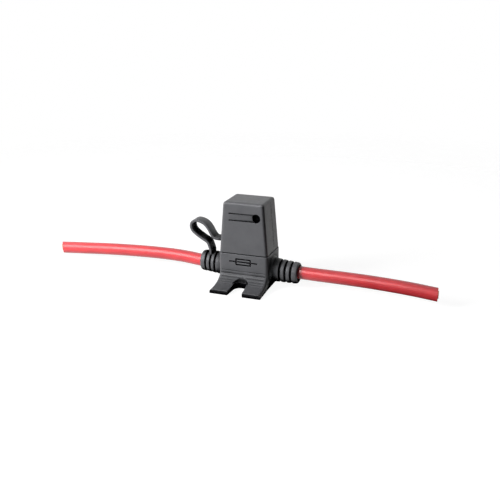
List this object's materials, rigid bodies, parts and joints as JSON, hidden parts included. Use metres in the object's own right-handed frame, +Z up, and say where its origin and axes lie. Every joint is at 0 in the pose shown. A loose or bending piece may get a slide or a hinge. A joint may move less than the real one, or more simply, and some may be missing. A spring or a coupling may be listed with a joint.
{
  "type": "inline fuse holder",
  "caption": "Black rubber inline holder for a large blade fuse, with a tapered cap on a tether strap, ribbed cable boots, slotted mounting feet and red leads.",
  "frame": {"origin": "middle of the base's underside, on the surface it is screwed to", "axes": "+X along the leads and away from the strap, -Y out of the front with the channel and pocket, +Z up through the cap"},
  "size_m": [0.3064, 0.0628, 0.0633],
  "materials": {
    "black_rubber": "fine matte moulded rubber",
    "carrier_nylon": "matte nylon",
    "fuse_plastic": "clear tinted plastic",
    "fuse_metal": "stamped bright zinc",
    "terminal_metal": "tinned brass sheet",
    "copper": "bare stranded copper",
    "red_insulation": "glossy extruded insulation"
  },
  "bodies": {
    "base": {"base_body": "black_rubber", "terminal_carrier": "carrier_nylon", "terminal_left": "terminal_metal", "terminal_right": "terminal_metal", "conductor_left": "copper", "conductor_right": "copper", "cable_left": "red_insulation", "cable_right": "red_insulation", "tether_strap": "black_rubber"},
    "cap": {"cap": "black_rubber"},
    "fuse": {"fuse_housing": "fuse_plastic", "fuse_element": "fuse_metal"}
  },
  "joints": [
    {"name": "cap_lift", "type": "slide", "parent": "base", "child": "cap", "axis": [0, 0, 1], "range_m": [0, 0.045], "deforming": ["tether_strap"]},
    {"name": "fuse_pull", "type": "slide", "parent": "base", "child": "fuse", "axis": [0, 0, 1], "range_m": [0, 0.015]}
  ],
  "couplings": [
    {"joint": "fuse_pull", "follows": "cap_lift", "ratio": 0.3333}
  ]
}
